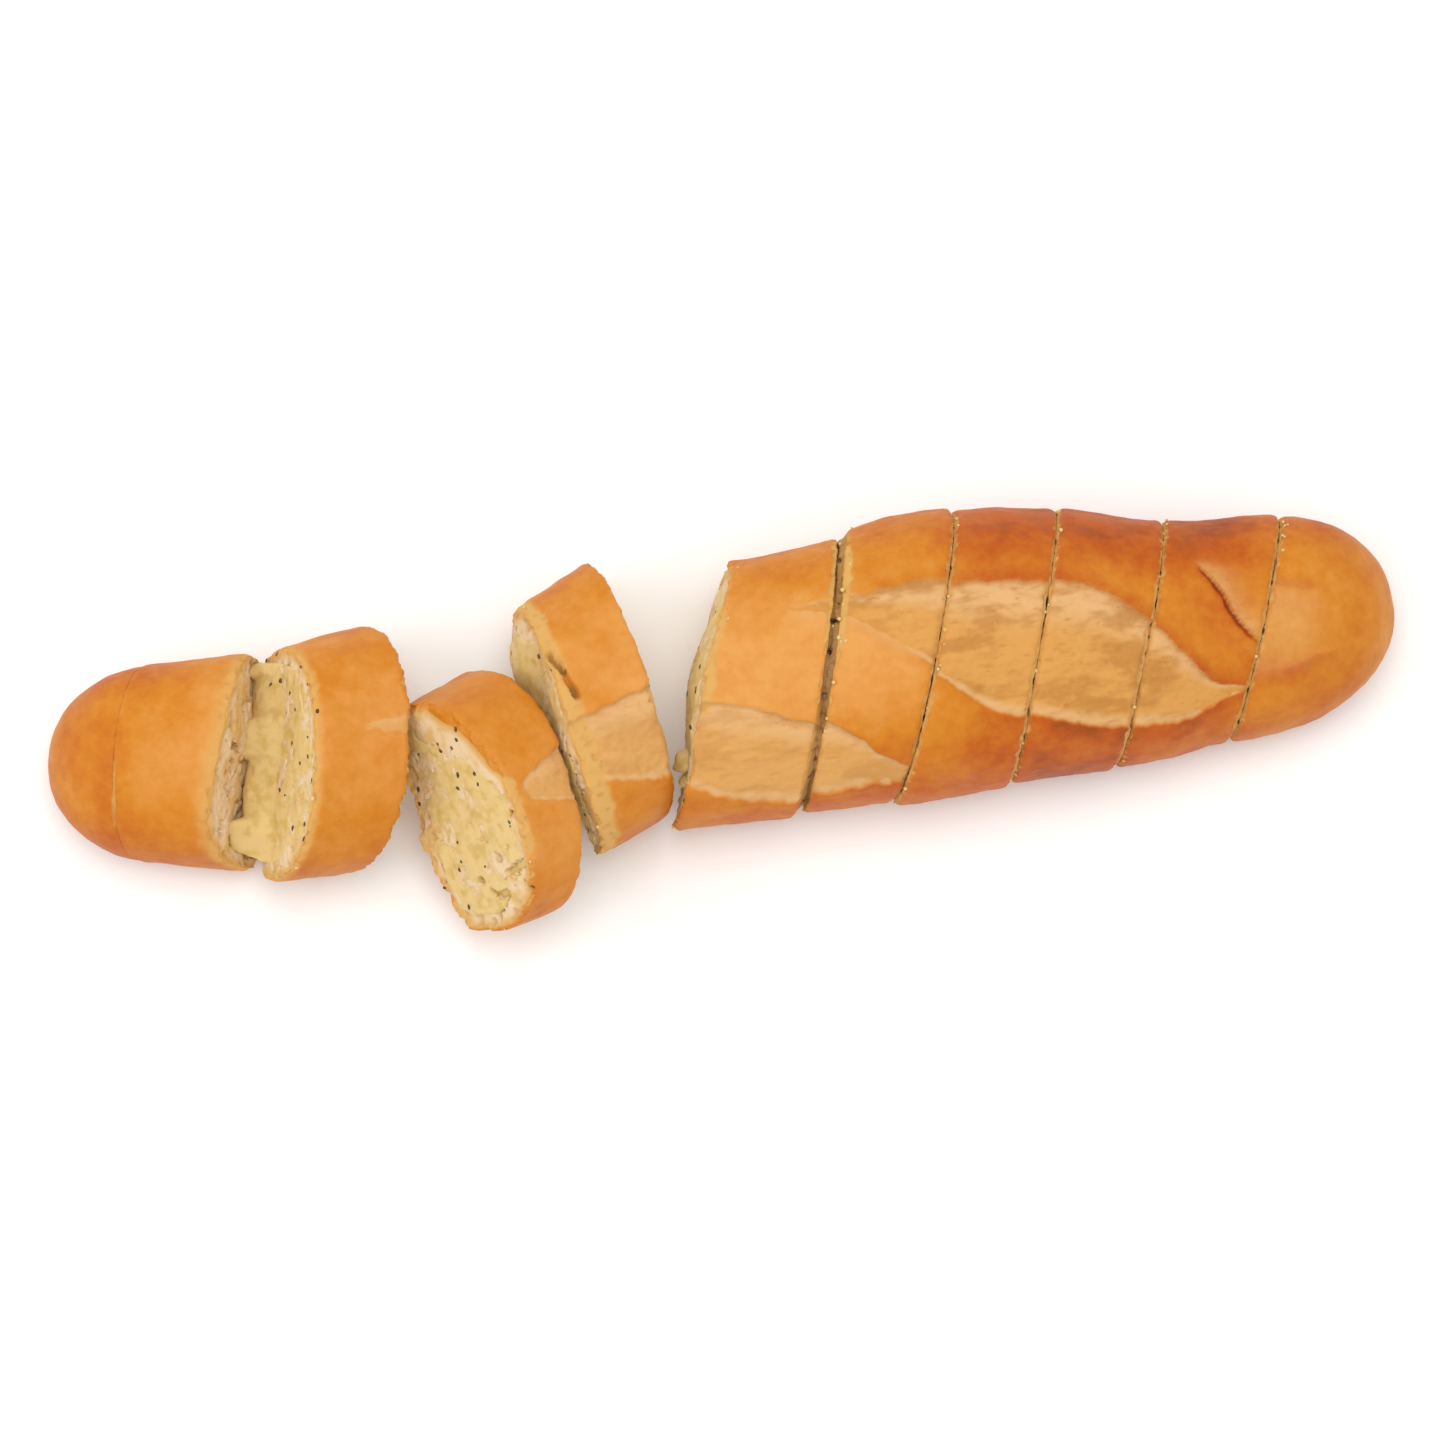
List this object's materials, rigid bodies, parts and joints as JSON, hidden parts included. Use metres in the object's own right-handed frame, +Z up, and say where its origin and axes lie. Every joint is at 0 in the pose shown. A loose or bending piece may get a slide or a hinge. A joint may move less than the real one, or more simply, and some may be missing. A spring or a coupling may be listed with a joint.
{
  "type": "garlic bread",
  "caption": "Short baguette cut across on the slant, with herb and garlic butter in the cuts: some slices lean apart like dominoes and the rest still stand together as a loaf.",
  "frame": {"origin": "on the resting plane, under the middle of the bounding box of the whole arrangement", "axes": "+X along the part of the loaf that still stands together, towards its right heel; +Y towards its far side; +Z up"},
  "size_m": [0.3074, 0.0828, 0.0476],
  "materials": {
    "bread": "matte to satin baked crust, paler and rougher where the scores opened, with an open pale crumb on the cut faces",
    "garlic_butter": "soft melted butter soaked into crumb, satin, with chopped dark green herbs"
  },
  "bodies": {
    "root": {"left_heel": "bread", "slice_1": "bread", "slice_2": "bread", "slice_3": "bread", "slice_4": "bread", "slice_5": "bread", "slice_6": "bread", "slice_7": "bread", "slice_8": "bread", "slice_9": "bread", "right_heel": "bread", "garlic_butter_1": "garlic_butter", "garlic_butter_2": "garlic_butter", "garlic_butter_3": "garlic_butter", "garlic_butter_4": "garlic_butter", "garlic_butter_5": "garlic_butter", "garlic_butter_6": "garlic_butter", "garlic_butter_7": "garlic_butter", "garlic_butter_8": "garlic_butter", "garlic_butter_9": "garlic_butter", "garlic_butter_10": "garlic_butter"}
  },
  "joints": []
}
